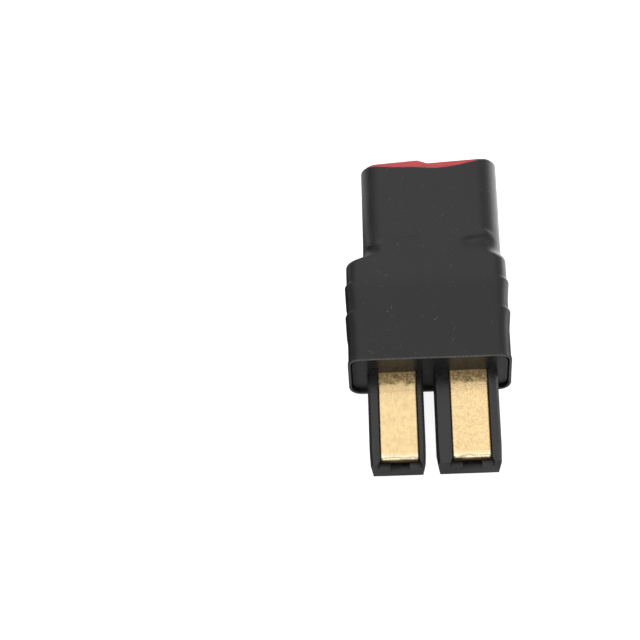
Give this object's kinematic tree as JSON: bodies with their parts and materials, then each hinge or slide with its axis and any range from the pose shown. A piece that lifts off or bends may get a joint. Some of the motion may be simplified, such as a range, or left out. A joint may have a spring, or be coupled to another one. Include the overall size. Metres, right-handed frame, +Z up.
{
  "type": "battery connector adapter",
  "caption": "Wireless battery connector adapter: blade plug with open contact channels joined to a T-slot socket inside a black heat-shrink sleeve.",
  "frame": {"origin": "middle of the part's bounding box in X and Y, on the surface it lies on", "axes": "+Y along the adapter from the blade plug to the T-slot socket, +X across it to the wider prong, +Z up"},
  "size_m": [0.0196, 0.039, 0.0085],
  "materials": {
    "black_shrink": "satin shrink tube with fine dust and scuffs",
    "black_nylon": "moulded nylon, slightly glossy",
    "red_nylon": "moulded nylon, satin",
    "gold_plate": "pale gold plating, brushed lengthwise",
    "spring_steel": "bright rolled strip",
    "solder": "dull bright solder"
  },
  "bodies": {
    "root": {"heat_shrink_sleeve": "black_shrink", "plug_housing": "black_nylon", "blade_contact_left": "gold_plate", "blade_contact_right": "gold_plate", "socket_housing": "red_nylon", "socket_contact_flat": "gold_plate", "socket_contact_upright": "gold_plate", "contact_spring_flat": "spring_steel", "contact_spring_upright": "spring_steel", "solder_joint_left": "solder", "solder_joint_right": "solder"}
  },
  "joints": []
}
